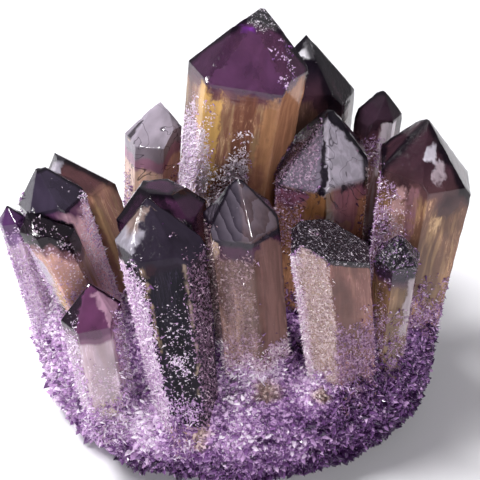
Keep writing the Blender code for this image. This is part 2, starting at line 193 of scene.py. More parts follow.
POINTS = {
    "tall": looks(
        "tall_twin_crystal", (-5, 6, 31), (4, 8.5, 101.5), 12.2, shade(156, 108, 92), GOLD,
        tip_colour=shade(80, 48, 78), glow=shade(104, 62, 72), tip_depth=0.3, glow_depth=1.7, fade=1.3,
        rim=2.0, passes=0.3, etched=7.5, etched_side=138, etched_spread=72,
        bands=[
            band(shade(236, 188, 114), -48, 15, 4, 52, 5, 0.85),
            band(shade(124, 80, 66), 2, 16, 30, 52, 5, 0.7),
            band(shade(184, 134, 98), 34, 10, 22, 52, 5, 0.7),
            band(shade(108, 58, 72), 10, 26, 10, 32, 6, 0.6),
            band(shade(170, 120, 92), 66, 24, 10, 54, 6, 0.8),
            # The left end face in a darker purple: its own purple with painted shade along the left outline.
            facet(shade(64, 38, 62), -92, 42, 44, 74, 3, 0.9),
            facet(shade(136, 52, 180), -101, 3, 62.9, 63.9, 0.25, 0.7),
            facet(shade(72, 44, 66), 82, 34, 44, 70, 4, 0.9),
        ],
        frost=[
            frost(-68, 24, 0, 42, 5, 1.0, 0.5, 0.0, 1.15),
            frost(-8, 36, 14, 25, 6, 1.0, 0.58, 0.15, 1.35),
            frost(0, 17, 22, 36, 6, 0.75, 0.56, 0.15, 1.3),
            frost(-8, 60, 0, 20, 4, 0.6, 0.6, 0.2, 0.6),
            frost(49, 1, 51, 56, 1, 0.6, 0.36, 0.0, 0.75, "ends"),
            frost(61, 1, 55, 60, 1, 0.5, 0.36, 0.0, 0.75, "ends"),
            frost(79, 2, 59, 63, 1, 0.4, 0.36, 0.0, 0.75, "ends"),
        ]),
    "mid_right": looks(
        "tall_twin_crystal", (18, -4, 25.5), (19, 4, 78.4), 10.7, shade(150, 102, 82),
        shade(180, 130, 96), glow=shade(112, 68, 88), tip_depth=0.5, glow_depth=2.5, passes=0.28,
        cracks=1.0,
        bands=[
            band(shade(132, 90, 56), 0, 18, 28, 37, 2),
            band(shade(136, 86, 96), 31, 20, 26, 36, 3, 0.9),
            # Painted reflection: a pale grey end face where a bright light on the right is mirrored.
            facet(shade(166, 157, 171), 40, 34, 30, 60, 1, 0.9),
            facet(shade(108, 98, 114), -72, 68, 30, 60, 1.5, 1.0),
            band(TAN, 80, 18, 10, 32, 4, 0.6),
        ],
        frost=[
            frost(-70, 60, 34, 56, 3, 0.42, 0.28, 0.45, 0.4, "ends"),
            frost(82, 22, 0, 32, 8, 0.5, 0.4, 0.8, 0.6),
            frost(-60, 30, 18, 34, 4, 0.3, 0.35, 0.4, 0.5),
        ]),
    "back_mid": looks(
        "back_crystal", (15.5, 23.5, 31), (17.5, 30.5, 83), 10.7, shade(92, 68, 62),
        shade(120, 90, 78), glow=shade(74, 48, 62), tip_depth=1.2, glow_depth=2.6, fade=1.2,
        fall_share=0.15, depth_share=0.3, rim=2.6, passes=0.34, shine=0.25,
        bands=[
            # Painted reflection: a near-white spot where a bright light is mirrored on an end face.
            facet(shade(240, 236, 244), -20, 26, 46.5, 51, 0.6),
            band(shade(132, 104, 98), 88, 14, 18, 34, 5, 0.8),
            band(shade(40, 26, 34), 40, 20, 30, 46, 4, 0.7),
            facet(BLACK, 75, 38, 38, 60, 3, 0.9),
        ]),
    "back_right": looks(
        "back_right_crystal", (31.5, 21.5, 26), (35, 28, 68.3), 5.2, shade(140, 104, 104),
        shade(176, 156, 160), glow=shade(96, 62, 76), tip_colour=shade(52, 36, 48), tip_depth=1.5,
        glow_depth=4.0, fade=2.0, rim=1.6, passes=0.3, shine=0.3,
        bands=[
            band(shade(240, 230, 242), 30, 24, 20, 36, 2, 1.0),
        ],
        frost=[
            frost(-10, 30, 24, 31, 2, 0.4, 0.5),
        ]),
    "right": looks(
        "right_crystal", (38.2, -9, 24), (43.5, -5, 81), 11, shade(118, 84, 70), shade(168, 132, 98),
        tip_colour=shade(60, 38, 48), glow=shade(90, 62, 64), tip_depth=1.6, glow_depth=3.2, fade=1.6,
        fall_share=0.16, depth_share=0.3, rim=2.4, passes=0.32, shine=0.28, specks=0.4,
        bands=[
            # Painted reflections: two pale end faces where a bright light is mirrored.
            facet(shade(214, 206, 220), -8, 12, 46.9, 50.5, 0.8, 0.85),
            facet(shade(180, 162, 172), 10, 12, 43.8, 46.9, 1.2, 0.75),
            band(GOLD, 12, 9, 31, 37, 2, 0.6),
            band(shade(176, 156, 138), 82, 24, 0, 42, 4, 0.85),
            band(shade(200, 158, 160), -42, 8, 16, 40, 5, 0.7),
            band(shade(140, 100, 110), -22, 8, 10, 44, 5, 0.6),
        ],
        frost=[
            frost(-62, 14, 0, 38, 6, 0.75, 0.42, 0.1, 0.75),
            frost(-36, 8, 14, 34, 5, 0.5, 0.35, 0.5, 0.85),
            frost(0, 80, 0, 12, 6, 0.7, 0.5, 0.1, 0.5),
        ]),
    "centre": looks(
        "centre_crystal", (3, -26, 28), (-0.6, -22, 74), 7.5, shade(116, 88, 86), shade(150, 120, 108),
        tip_colour=shade(44, 38, 48), glow=shade(70, 40, 62), glow_depth=2.6, fade=0.8, passes=0.2,
        shine=0.25, steps=1.0, rim=0.8,
        bands=[
            facet(shade(78, 62, 66), 50, 50, 30, 48, 1, 0.8),
            band(shade(190, 164, 144), -48, 10, 29, 35.5, 1.5),
            band(shade(120, 90, 86), 46, 28, 0, 33, 2, 0.9),
            band(shade(88, 58, 50), 18, 7, 0, 30, 3, 0.7),
        ],
        frost=[
            frost(-14, 27, 0, 31, 3, 0.42, 0.3, 0.8, 0.42),
            frost(-14, 27, 0, 12, 6, 0.55, 0.32, 0.5, 0.48),
            frost(-75, 30, 0, 34, 3, 0.4, 0.4, 0.8, 0.45),
            frost(0, 90, 0, 6, 3, 0.9, 0.5, 0.4, 0.8),
        ]),
    "front_dark": looks(
        "dark_twin_crystal", (-11.4, -37, 17), (-18, -31.5, 76.9), 8.7, shade(18, 16, 24),
        shade(34, 28, 38), tip_colour=shade(38, 32, 43), glow=shade(28, 21, 31), glow_depth=2.0,
        passes=0.03, shine=0.08, rim=0.6, specks=0.5,
        bands=[
            # Painted reflection: a light grey left end face where a bright light is mirrored.
            facet(shade(140, 135, 146), -66, 26, 40, 52.5, 0.6),
            facet(shade(120, 102, 98), -76, 22, 52.5, 57, 0.8, 0.8),
            band(shade(46, 28, 36), -16, 12, 43.5, 47.5, 1.2, 0.6),
            band(shade(160, 136, 116), -27, 2.6, 24, 47, 2, 0.7),
            band(shade(136, 118, 106), 38, 2.6, 8, 52, 3, 0.7),
            band(shade(178, 152, 122), 0, 60, -8, 3, 1.5),
            band(PALE_PINK, -84, 12, 20, 46, 3),
        ],
        frost=[
            frost(-58, 27, 0, 43, 4, 0.9, 0.45, 0.1, 0.95),
            frost(6, 26, 4, 38, 8, 0.11, 0.36, 0.1, 0.95),
            frost(0, 30, 4, 11, 2, 0.5, 0.42, 0.0, 0.72),
            frost(8, 14, 18, 23, 2, 0.6, 0.4, 0.0, 1.0),
            frost(66, 26, 0, 44, 6, 0.45, 0.4, 0.5, 0.3),
        ]),
    "behind_dark": looks(
        "dark_twin_crystal", (-13.6, -19, 30), (-18.6, -18, 74), 9, shade(110, 66, 80), MAUVE,
        tip_colour=shade(74, 42, 70), glow=shade(94, 54, 82), tip_depth=1.5, glow_depth=5.0, fade=2.0,
        rim=2.0, passes=0.28,
        bands=[
            facet(shade(34, 20, 34), -30, 60, 30, 45, 2, 0.6),
        ]),
    "left_mid": looks(
        "left_triple_crystal", (-33, -12, 24), (-45.2, -8, 68.5), 7, shade(180, 132, 142),
        shade(140, 84, 106), tip_colour=shade(50, 42, 58), glow=shade(84, 48, 92), tip_depth=0.6,
        glow_depth=2.6, fade=1.0, fall_share=0.03, rim=1.0, passes=0.15, specks=0.5,
        bands=[
            # Its own pale pink, painted paler still as light on a side that the neighbouring points shade.
            band(shade(255, 206, 218), 58, 40, 0, 34, 4, 0.95),
            band(shade(104, 66, 100), 40, 40, 33, 38, 2, 0.8),
        ],
        frost=[
            frost(82, 13, 0, 34, 5, 0.7, 0.48, 0.1, 0.95),
            frost(-110, 50, 0, 34, 6, 0.9, 0.6, 0, 0.7),
            frost(52, 22, 8, 28, 5, 0.5, 0.34, 0.3, 1.0),
        ]),
    "left_back": looks(
        "left_triple_crystal", (-27.5, -1, 25.5), (-42, 6, 66.5), 7.5, shade(192, 142, 124), GOLD,
        tip_colour=BLACK, glow=shade(96, 62, 66), tip_depth=1.0, glow_depth=3.5, fade=1.0,
        fall_share=0.3, depth_share=0.2, rim=2.2, passes=0.4,
        bands=[
            # Painted reflection of a bright light on the left end face.
            facet(REFLECTION_GREY, -62, 46, 35.0, 42.2, 0.8),
            band(GOLD, 30, 10, 4, 30, 5, 0.7),
        ],
        frost=[
            frost(-40, 30, 0, 22, 6, 0.6, 0.5, 0.3, 0.7),
        ]),
    "left_front": looks(
        "left_triple_crystal", (-32, -20, 26), (-45.6, -18, 65.8), 5, shade(222, 172, 166),
        shade(196, 148, 110), tip_colour=shade(26, 18, 26), specks=0.2, shine=0.25,
        glow=shade(130, 92, 98), tip_depth=1.6, glow_depth=2.8, fade=1.2, rim=0.8, passes=0.15,
        bands=[
            # Painted reflection of a bright light on the left face.
            band(REFLECTION_GREY, -50, 20, 16, 30, 2, 0.9),
            band(shade(205, 160, 90), -30, 14, 15, 21, 3, 0.8),
            band(shade(40, 26, 40), -52, 16, 12, 15.4, 0.5, 0.95),
        ],
        frost=[
            frost(-90, 34, 0, 30, 6, 0.7, 0.45, 0, 0.8),
            frost(20, 40, 8, 20, 2, 0.5, 0.5, 0.1, 0.7),
            frost(0, 70, 6, 34, 6, 0.16, 0.3, 0.3, 0.9),
        ]),
    "left_edge": looks(
        "left_edge_crystal", (-44.8, -16, 22.5), (-52, -14, 61.3), 2.7, PALE_PINK, LILAC,
        tip_colour=shade(84, 50, 96), glow=shade(120, 84, 136), tip_depth=1.2, glow_depth=3.0,
        fade=1.0, rim=0.6,
        frost=[
            frost(0, ALL_ROUND, 0, 30, 5, 0.55, 0.45, 0, 0.85),
        ]),
    "left_low": looks(
        "low_left_crystal", (-29.8, -33.5, 19), (-33.3, -33.5, 55), 6, shade(204, 178, 188), PALE_PINK,
        tip_colour=shade(98, 56, 90), glow=shade(128, 88, 116), tip_depth=0.8, glow_depth=1.8,
        fade=0.7, rim=0.7, passes=0.35,
        bands=[
            facet(BLACK, -66, 34, 24, 36, 1.2),
            facet(shade(172, 134, 156), 66, 24, 20, 33, 1.0, 0.9),
            band(shade(188, 170, 150), 0, 60, 2, 8, 2, 0.5),
            band(shade(176, 136, 160), 62, 18, 8, 26, 3, 0.7),
        ],
        frost=[
            frost(-58, 27, 0, 24, 5, 0.75, 0.36, 0, 1.0),
            frost(12, 30, 6, 15, 4, 0.4, 0.28, 0.2, 0.95),
            frost(80, 20, 0, 26, 5, 0.6, 0.42, 0, 0.7),
        ]),
    "front_right": looks(
        "front_right_twin_crystal", (23.6, -28, 25), (18, -26, 71.6), 8.5, shade(116, 78, 74),
        shade(138, 98, 88), glow=shade(60, 44, 48), tip_depth=0.5, glow_depth=1.0, fade=0.4, rim=0.6,
        passes=0.26, shine=0.3, etched=18.0,
        bands=[
            band(shade(170, 144, 132), -32, 27, 0, 40, 2, 0.8),
        ],
        frost=[
            frost(-32, 27, 0, 42, 2, 0.62, 0.32, 0.8, 0.75, "sides"),
            frost(-60, 8, 0, 42, 2, 1.0, 0.45, 0.3, 1.0, "sides"),
            frost(28, 40, 0, 15, 7, 0.8, 0.36, 0.3, 0.44),
            frost(-85, 20, 0, 34, 4, 0.6, 0.4, 0.5, 0.6),
        ]),
    "right_small": looks(
        "front_right_twin_crystal", (33.4, -25, 26), (34.6, -25.5, 61.5), 4.7, shade(118, 88, 66),
        shade(150, 116, 84), tip_colour=shade(36, 24, 44), glow=shade(84, 54, 70), tip_depth=1.6,
        glow_depth=2.4, rim=0.6, etched=7.5,
        bands=[
            band(shade(172, 158, 166), 36, 11, 10, 27, 2, 0.7),
        ],
        frost=[
            frost(-45, 30, 0, 18, 6, 0.6, 0.4, 0.2, 0.6),
            frost(0, ALL_ROUND, 27, 38, 2, 0.12, 0.3, 0, 0.35),
            frost(40, 40, 0, 12, 6, 0.5, 0.36, 0.2, 0.5),
        ]),
    "back_left": looks(
        "back_left_crystal", (-23, 20, 31), (-21, 26, 67.5), 6.2, shade(252, 212, 196),
        shade(236, 198, 160), tip_colour=shade(162, 152, 166), glow=shade(182, 136, 162),
        tip_depth=1.6, glow_depth=3.5, fade=0.8, rim=0.0, passes=0.16, cracks=1.0,
        bands=[
            facet(shade(52, 46, 54), -70, 12, 24, 31, 0.8, 1.0),
        ],
        frost=[
            frost(-88, 34, 0, 12, 6, 0.8, 0.45, 0, 0.8),
            frost(80, 30, 0, 14, 8, 0.6, 0.5, 0, 0.7),
        ]),
    "rear_left": looks(
        "rear_left_crystal", (-34.5, 13, 24), (-44, 20.5, 47), 5.5, MAUVE, LILAC),
    "rear_mid": looks(
        "rear_crystal", (-4, 31, 24), (-6, 40, 62), 7, AMBER, MAUVE, tip_colour=DEEP_VIOLET,
        frost=[
            frost(180, 40, 0, 12, 6, 0.7, 0.6),
        ]),
    "rear_right": looks(
        "rear_right_crystal", (22, 36, 18), (27.5, 45.5, 49), 4.5, MAUVE, LILAC),
    "rear_low": looks(
        "rear_low_crystal", (-19, 31.5, 18), (-25, 40, 45), 4.2, ROSE, LILAC, tip_colour=DEEP_VIOLET),
    "far_left": looks(
        "far_left_crystal", (-41, 3, 23), (-50, 6.5, 50), 3.7, PALE_PINK, LILAC,
        tip_colour=DEEP_VIOLET,
        frost=[
            frost(0, ALL_ROUND, 0, 18, 6, 0.6, 0.5, 0, 0.8),
        ]),
    "far_right": looks(
        "far_right_crystal", (43, 10.5, 20), (50, 14.5, 52), 4.5, BROWN, MAUVE),
}


def smooth(low, high, value):
    """0 below low, 1 above high, eased between."""
    share = np.clip((value - low) / (high - low), 0, 1)
    return share * share * (3 - 2 * share)


def step_at(level, soft, value):
    """0 below a level, 1 above it, eased within a softness of it."""
    return smooth(level - soft, level + soft, value)


def side_share(depth):
    """0 on an end face, 1 on a side, from the depth below the end faces."""
    return smooth(*SIDE_DEPTHS, depth)


def degrees_from(side, own, sway=0.0):
    """How many degrees around the axis places lie from the way that a side faces."""
    around = np.degrees(np.arctan2(own[:, 1], own[:, 0])) + sway
    return np.abs((around - side + 180) % 360 - 180)


def wander(places, scale):
    """Soft noise from about -0.7 to 0.7 at each place."""
    return np.array([noise.noise(Vector(place) * scale) for place in places])


class Point:
    """A large point's own frame: along its axis from the foot, and around it from the front."""

    def __init__(self, name, facts):
        self.name = name
        self.facts = facts
        self.foot = np.array(facts["foot"], float)
        axis = np.array(facts["tip"], float) - self.foot
        self.length = np.linalg.norm(axis)
        self.axis = axis / self.length
        front = np.array((0, -1, 0)) + self.axis[1] * self.axis
        self.front = front / np.linalg.norm(front)
        self.side = np.cross(self.axis, self.front)
        self.ends = []

    def local(self, places):
        """Places in millimetres as front, side and up in this crystal."""
        away = places - self.foot
        return np.stack((away @ self.front, away @ self.side, away @ self.axis), 1)

    def closeness(self, places):
        """How far out from the axis places lie, 1 being this crystal's own faces."""
        own = self.local(places)
        return np.hypot(own[:, 0], own[:, 1]) / self.facts["half"]

    def depth(self, places):
        """How deep places lie below the end faces, in millimetres."""
        if not self.ends:
            return np.full(len(places), UNCAPPED_DEPTH)
        return np.min([reach - places @ facing for facing, reach in self.ends], 0)

    def ended(self, places):
        """Whether places lie above this crystal's tip or outside its end faces."""
        return (self.local(places)[:, 2] > self.length + TIP_SPARE) | (self.depth(places) < -TIP_SPARE)

    def share_in(self, stretch, own, depth, wobble):
        """How far a stretch of frost or colour covers each place, from 0 to 1."""
        turn = degrees_from(stretch["side"], own, BORDER_SWAY * wobble)
        up = own[:, 2] + stretch["soft"] * BORDER_DRIFT * wobble
        share = 1 - smooth(stretch["spread"] - FADE_INSIDE, stretch["spread"] + FADE_OUTSIDE, turn)
        share *= 1 - step_at(stretch["high"], stretch["soft"], up)
        share *= step_at(stretch["low"], stretch["soft"], up)
        on_side = side_share(depth)
        share *= {"all": 1.0, "sides": on_side, "ends": 1 - on_side}[stretch["on"]]
        return share * stretch["amount"]

    def etching(self, own, depth, fall):
        """How far each place is etched: near the tip, on the end faces of the etched side."""
        turn = degrees_from(self.facts["etched_side"], own)
        share = 1 - step_at(self.facts["etched"], ETCHED_SOFT, fall)
        share *= 1 - step_at(self.facts["etched_spread"], ETCHED_TURN_SOFT, turn)
        share *= (self.facts["etched"] > 0) * (1 - smooth(*ETCHED_DEPTHS, depth))
        return share

    def frosting(self, places, own, depth, wobble):
        """How frosted each place is, with its grains' size and colour. The densest frost counts."""
        found = dict(frost=self.share_in(ROOT_FROST, own, depth, wobble),
                     grit=np.full(len(places), ROOT_FROST["grit"]),
                     warm=np.zeros(len(places)), pale=druse_paleness_and_shade(places))
        for stretch in self.facts["frost"]:
            share = self.share_in(stretch, own, depth, wobble)
            stronger = share > found["frost"]
            found["frost"][stronger] = share[stronger]
            for key in ("grit", "warm", "pale"):
                found[key][stronger] = stretch[key]
        return found

    def banding(self, own, depth, wobble):
        """The colour that the bands give each place, and how far they cover it."""
        on_side = side_share(depth)[:, None]
        body, tip = (np.array(self.facts[key][:3]) for key in ("body", "tip_colour"))
        colour = body * on_side + tip * (1 - on_side)
        cover = np.zeros(len(own))
        for stretch in self.facts["bands"]:
            share = self.share_in(stretch, own, depth, wobble)
            cover = 1 - (1 - cover) * (1 - share)
            weight = share / np.maximum(cover, LEAST_COVER)
            colour += (np.array(stretch["colour"][:3]) - colour) * weight[:, None]
        return np.concatenate((colour, cover[:, None]), 1)

    def values(self, places):
        """Everything that this crystal's material and grains read at each place."""
        own = self.local(places)
        wobble = wander(places, 0.3) + 0.6 * wander(places, 0.9)
        depth = self.depth(places)
        fall = self.length - own[:, 2]
        zone = depth * self.facts["depth_share"] + fall * self.facts["fall_share"]
        return dict(grown=own, depth=depth, zone=zone, etched=self.etching(own, depth, fall + wobble),
                    **self.frosting(places, own, depth, wobble),
                    band=self.banding(own, depth, wobble))


def points_in(node):
    """The large points that a solid is made of."""
    return [Point(name, facts) for name, facts in POINTS.items() if facts["node"] == node]


def solid_copy(node):
    """A clean copy of a solid, in millimetres, with whole flat faces."""
    bm = bmesh.new()
    bm.from_mesh(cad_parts[node].data)
    bm.transform(Matrix.Scale(1 / MM, 4))
    bmesh.ops.remove_doubles(bm, verts=bm.verts, dist=SAME_PLACE)
    bmesh.ops.dissolve_limit(bm, angle_limit=math.radians(FLAT_BEND), verts=bm.verts, edges=bm.edges)
    return bm


def owners(points, places):
    """Which of a solid's points each place belongs to: the closest that reaches up to it."""
    return np.argmin([point.closeness(places) + FAR_OFF * point.ended(places) for point in points], 0)


def find_end_faces(bm, points):
    """Note each point's end faces as planes."""
    centres = np.array([face.calc_center_median() for face in bm.faces])
    for face, owner in zip(bm.faces, owners(points, centres)):
        facing = np.array(face.normal)
        if facing @ points[owner].axis > END_FACE_LEAN:
            points[owner].ends.append((facing, facing @ np.array(face.verts[0].co)))


def outer_edges(bm):
    """The solid's outer edges."""
    least = math.radians(OUTER_EDGE_TURN)
    return [edge for edge in bm.edges if edge.is_convex and edge.calc_face_angle(0) > least]


def edge_places(bm):
    """Places along the outer edges, to measure nearness to one.

    An edge between two faces that both look to the front is left out, because the dark rims of
    painted shade follow a point's outline and not the edges across its front.
    """
    found = []
    for edge in outer_edges(bm):
        if all(face.normal.y < FRONT_LEAN for face in edge.link_faces):
            continue
        start, end = edge.verts[0].co, edge.verts[1].co
        steps = max(2, int((end - start).length / EDGE_STEP))
        found.extend(start.lerp(end, step / steps) for step in range(steps + 1))
    tree = kdtree.KDTree(len(found))
    for index, place in enumerate(found):
        tree.insert(place, index)
    tree.balance()
    return tree


def in_fixed_order(bm):
    """The same mesh with its corners and faces in an order that follows from their places alone.

    Bevelling leaves them in an order that changes from run to run, and the grains' random draws
    follow the faces' order.
    """
    bm.verts.index_update()
    places = [tuple(round(value, PLACE_DIGITS) for value in vert.co) for vert in bm.verts]
    order = sorted(range(len(places)), key=lambda index: places[index])
    rank = {index: position for position, index in enumerate(order)}
    rings = []
    for face in bm.faces:
        ring = [rank[vert.index] for vert in face.verts]
        first = ring.index(min(ring))
        rings.append(ring[first:] + ring[:first])
    bm.free()
    fixed = bmesh.new()
    verts = [fixed.verts.new(places[index]) for index in order]
    for ring in sorted(rings):
        fixed.faces.new([verts[position] for position in ring])
    return fixed


def slice_into_net(bm, point):
    """Cut the faces into a net along and across a point's axis."""
    places = np.array([vert.co for vert in bm.verts])
    for direction in (point.axis, point.front, point.side):
        reach = places @ direction
        cuts = int((reach.max() - reach.min()) / NET_SPACING)
        for step in range(1, cuts + 1):
            place = Vector(direction) * (reach.min() + step * NET_SPACING)
            everything = bm.verts[:] + bm.edges[:] + bm.faces[:]
            bmesh.ops.bisect_plane(bm, geom=everything, plane_co=place, plane_no=Vector(direction))


def growth_relief(places, own, depth, rim):
    """How far the surface falls back: growth steps across the sides, and chipped edges."""
    steps = wander(own * np.array((0.07, 0.07, 1.0)), 0.7)
    chips = wander(places, 0.55) + 0.5 * wander(places, 1.7)
    on_side = smooth(0.5, 2.0, depth)
    near_edge = 1 - smooth(0.0, 1.4, rim)
    return STEP_RELIEF * on_side * steps + CHIP_RELIEF * near_edge * np.maximum(chips, 0)


KINDS = {1: ("FLOAT", "value"), 3: ("FLOAT_VECTOR", "vector"), 4: ("FLOAT_COLOR", "color")}


def store(mesh, name, values):
    """Keep a number, a place or a colour for each corner of the mesh."""
    kind, field = KINDS[1 if values.ndim == 1 else values.shape[1]]
    layer = mesh.attributes.new(name, kind, "POINT")
    layer.data.foreach_set(field, np.ascontiguousarray(values, np.float32).ravel())


def crystal_piece(name, node):
    """A solid's finished piece, with its values and one material for each of its points."""
    points = points_in(node)
    bm = solid_copy(node)
    find_end_faces(bm, points)
    edges = edge_places(bm)
    bmesh.ops.bevel(bm, geom=outer_edges(bm), offset=EDGE_ROUND, segments=2, profile=0.6, affect="EDGES",
                    clamp_overlap=True)
    bm = in_fixed_order(bm)
    slice_into_net(bm, points[0])
    bmesh.ops.triangulate(bm, faces=[face for face in bm.faces if len(face.verts) > 4])
    bm.normal_update()
    places = np.array([vert.co for vert in bm.verts])
    normals = np.array([vert.normal for vert in bm.verts])
    owner = owners(points, places)
    each = [point.values(places) for point in points]
    found = {}
    for key, first in each[0].items():
        found[key] = first.copy()
        for index in range(1, len(points)):
            found[key][owner == index] = each[index][key][owner == index]
    found["rim"] = np.array([edges.find(place)[2] for place in places])
    places = places - normals * growth_relief(places, found["grown"], found["depth"], found["rim"])[:, None]
    face_owner = owners(points, np.array([face.calc_center_median() for face in bm.faces]))

    mesh = bpy.data.meshes.new(name)
    bm.to_mesh(mesh)
    bm.free()
    mesh.vertices.foreach_set("co", (places * MM).astype(np.float32).ravel())
    for key, values in found.items():
        store(mesh, key, values)
    for point in points:
        mesh.materials.append(crystal_material(point))
    mesh.polygons.foreach_set("material_index", face_owner.astype(np.int32))
    mesh.shade_smooth()
    mesh.set_sharp_from_angle(angle=math.radians(SHARPEST_SMOOTH))
    mesh.update()
    return add_piece(name, mesh)


def add_piece(name, mesh):
    """An object at the origin for a finished mesh."""
    piece = bpy.data.objects.new(name, mesh)
    bpy.context.scene.collection.objects.link(piece)
    return piece


def give(tree, made, inputs):
    """Set or link a node's inputs."""
    for key, value in inputs.items():
        if isinstance(value, bpy.types.NodeSocket):
            tree.links.new(value, made.inputs[key])
        else:
            made.inputs[key].default_value = value


def place_node(tree, kind, inputs=None, **settings):
    """A node with its settings made and its inputs set or linked."""
    made = tree.nodes.new(kind)
    for key, value in settings.items():
        setattr(made, key, value)
    give(tree, made, inputs or {})
    return made


def output_of(tree, kind, inputs=None, **settings):
    """The first output of a node placed with these inputs and settings."""
    return place_node(tree, kind, inputs, **settings).outputs[0]


def calculate(tree, operation, first, second=0.0, third=0.0):
    """A Math node's result."""
    return output_of(tree, "ShaderNodeMath", {0: first, 1: second, 2: third}, operation=operation)


def times(tree, first, second):
    """Two values multiplied."""
    return calculate(tree, "MULTIPLY", first, second)


def centred(tree, value):
    """A value of 0 to 1 moved to lie around 0."""
    return calculate(tree, "SUBTRACT", value, 0.5)


def blend(tree, share, first, second, kind="MIX"):
    """A mix of two colours."""
    inputs = {0: share, 6: first, 7: second}
    return place_node(tree, "ShaderNodeMix", inputs, data_type="RGBA", blend_type=kind).outputs[2]


def tinted(tree, first, second):
    """Two colours multiplied."""
    return blend(tree, 1.0, first, second, "MULTIPLY")


def between(tree, value, low, high, start=0.0, end=1.0):
    """A value mapped smoothly from one range to another."""
    inputs = {"Value": value, "From Min": low, "From Max": high, "To Min": start, "To Max": end}
    return output_of(tree, "ShaderNodeMapRange", inputs, interpolation_type="SMOOTHSTEP")


def stretched(tree, place, stretch):
    """A place multiplied by a vector."""
    return output_of(tree, "ShaderNodeVectorMath", {0: place, 1: stretch}, operation="MULTIPLY")


def grain_of(tree, place, stretch, scale, detail=3.0, bend=0.0):
    """A noise value in a place stretched by a vector."""
    inputs = {"Vector": stretched(tree, place, stretch), "Scale": scale, "Detail": detail,
              "Distortion": bend}
    return output_of(tree, "ShaderNodeTexNoise", inputs)


def cells_of(tree, place, scale):
    """Small cells: the distance to each one's middle, and a random value for each."""
    made = place_node(tree, "ShaderNodeTexVoronoi", {"Vector": place, "Scale": scale})
    return made.outputs["Distance"], output_of(tree, "ShaderNodeSeparateColor", {0: made.outputs["Color"]})


def hairlines(tree, value, width):
    """Thin lines where a value passes one half."""
    away = calculate(tree, "ABSOLUTE", centred(tree, value))
    return between(tree, away, 0.0, width, 1.0, 0.0)


def ramp_of(tree, value, colours):
    """A colour from a value of 0 to 1 through evenly spaced colours."""
    made = place_node(tree, "ShaderNodeValToRGB", {0: value})
    stops = made.color_ramp.elements
    while len(stops) < len(colours):
        stops.new(0.5)
    for index, colour in enumerate(colours):
        stops[index].position = index / (len(colours) - 1)
        stops[index].color = colour
    return made.outputs[0]


def grain_colour(tree, tone, warm):
    """The colour of a grain from its tone, cool or warm."""
    return blend(tree, warm, ramp_of(tree, tone, COOL_GRAINS), ramp_of(tree, tone, WARM_GRAINS))


def new_group(name, inputs, outputs):
    """A shader node group with named sockets."""
    group = bpy.data.node_groups.new(name, "ShaderNodeTree")
    for label, kind in inputs:
        group.interface.new_socket(label, in_out="INPUT", socket_type=kind)
    for label, kind in outputs:
        group.interface.new_socket(label, in_out="OUTPUT", socket_type=kind)
    given = group.nodes.new("NodeGroupInput").outputs
    return group, given, group.nodes.new("NodeGroupOutput").inputs


COLOUR, NUMBER, VECTOR = "NodeSocketColor", "NodeSocketFloat", "NodeSocketVector"


# A large point's own values for its growth, by the group's names for them.
GROWTH_FACTS = {"Tip Depth": "tip_depth", "Glow Depth": "glow_depth", "Fade": "fade", "Rim Shade Width": "rim",
                "Specks": "specks", "Cracks": "cracks", "Steps": "steps"}


